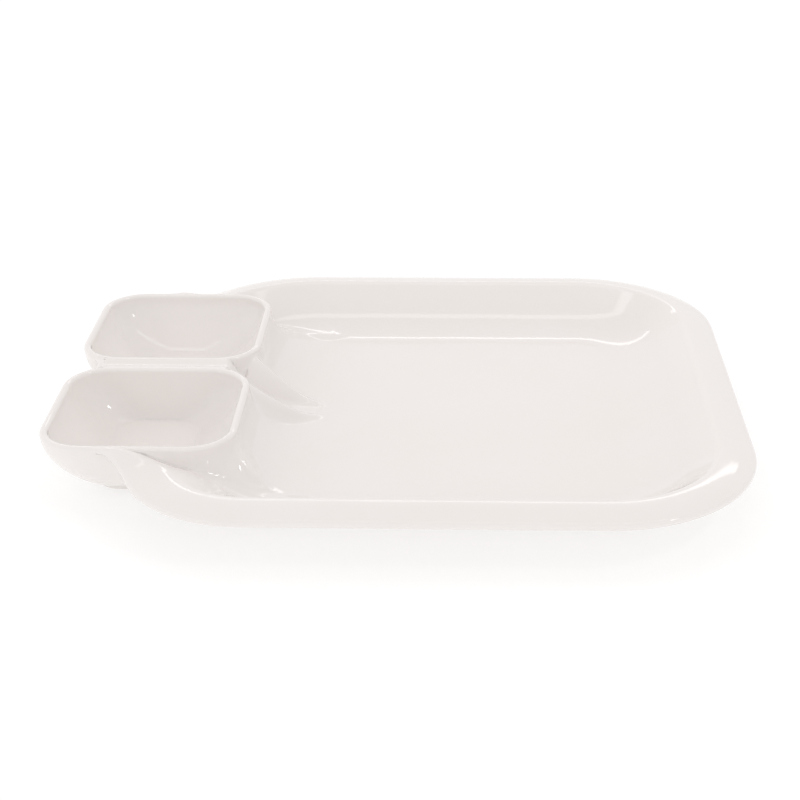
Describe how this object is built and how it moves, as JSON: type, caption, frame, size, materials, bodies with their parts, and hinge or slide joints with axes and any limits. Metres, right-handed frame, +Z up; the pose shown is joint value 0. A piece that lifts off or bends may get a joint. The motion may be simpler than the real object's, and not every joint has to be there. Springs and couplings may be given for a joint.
{
  "type": "chip and dip server",
  "caption": "Wide shallow square tray with rounded corners and a rolled rim, with two square dip bowls let into one side, on foot rings.",
  "frame": {"origin": "on the table, under the middle of the server's length and width", "axes": "+X runs along the server from the dip bowls to the tray's far end, +Y across it, +Z up"},
  "size_m": [0.356, 0.313, 0.036],
  "materials": {
    "white_glaze": "gloss",
    "bare_foot": "matte"
  },
  "bodies": {
    "root": {"tray": "white_glaze", "rear_dip_bowl": "white_glaze", "front_dip_bowl": "white_glaze", "bowl_bridge": "white_glaze", "tray_foot": "bare_foot", "rear_bowl_foot": "bare_foot", "front_bowl_foot": "bare_foot"}
  },
  "joints": []
}
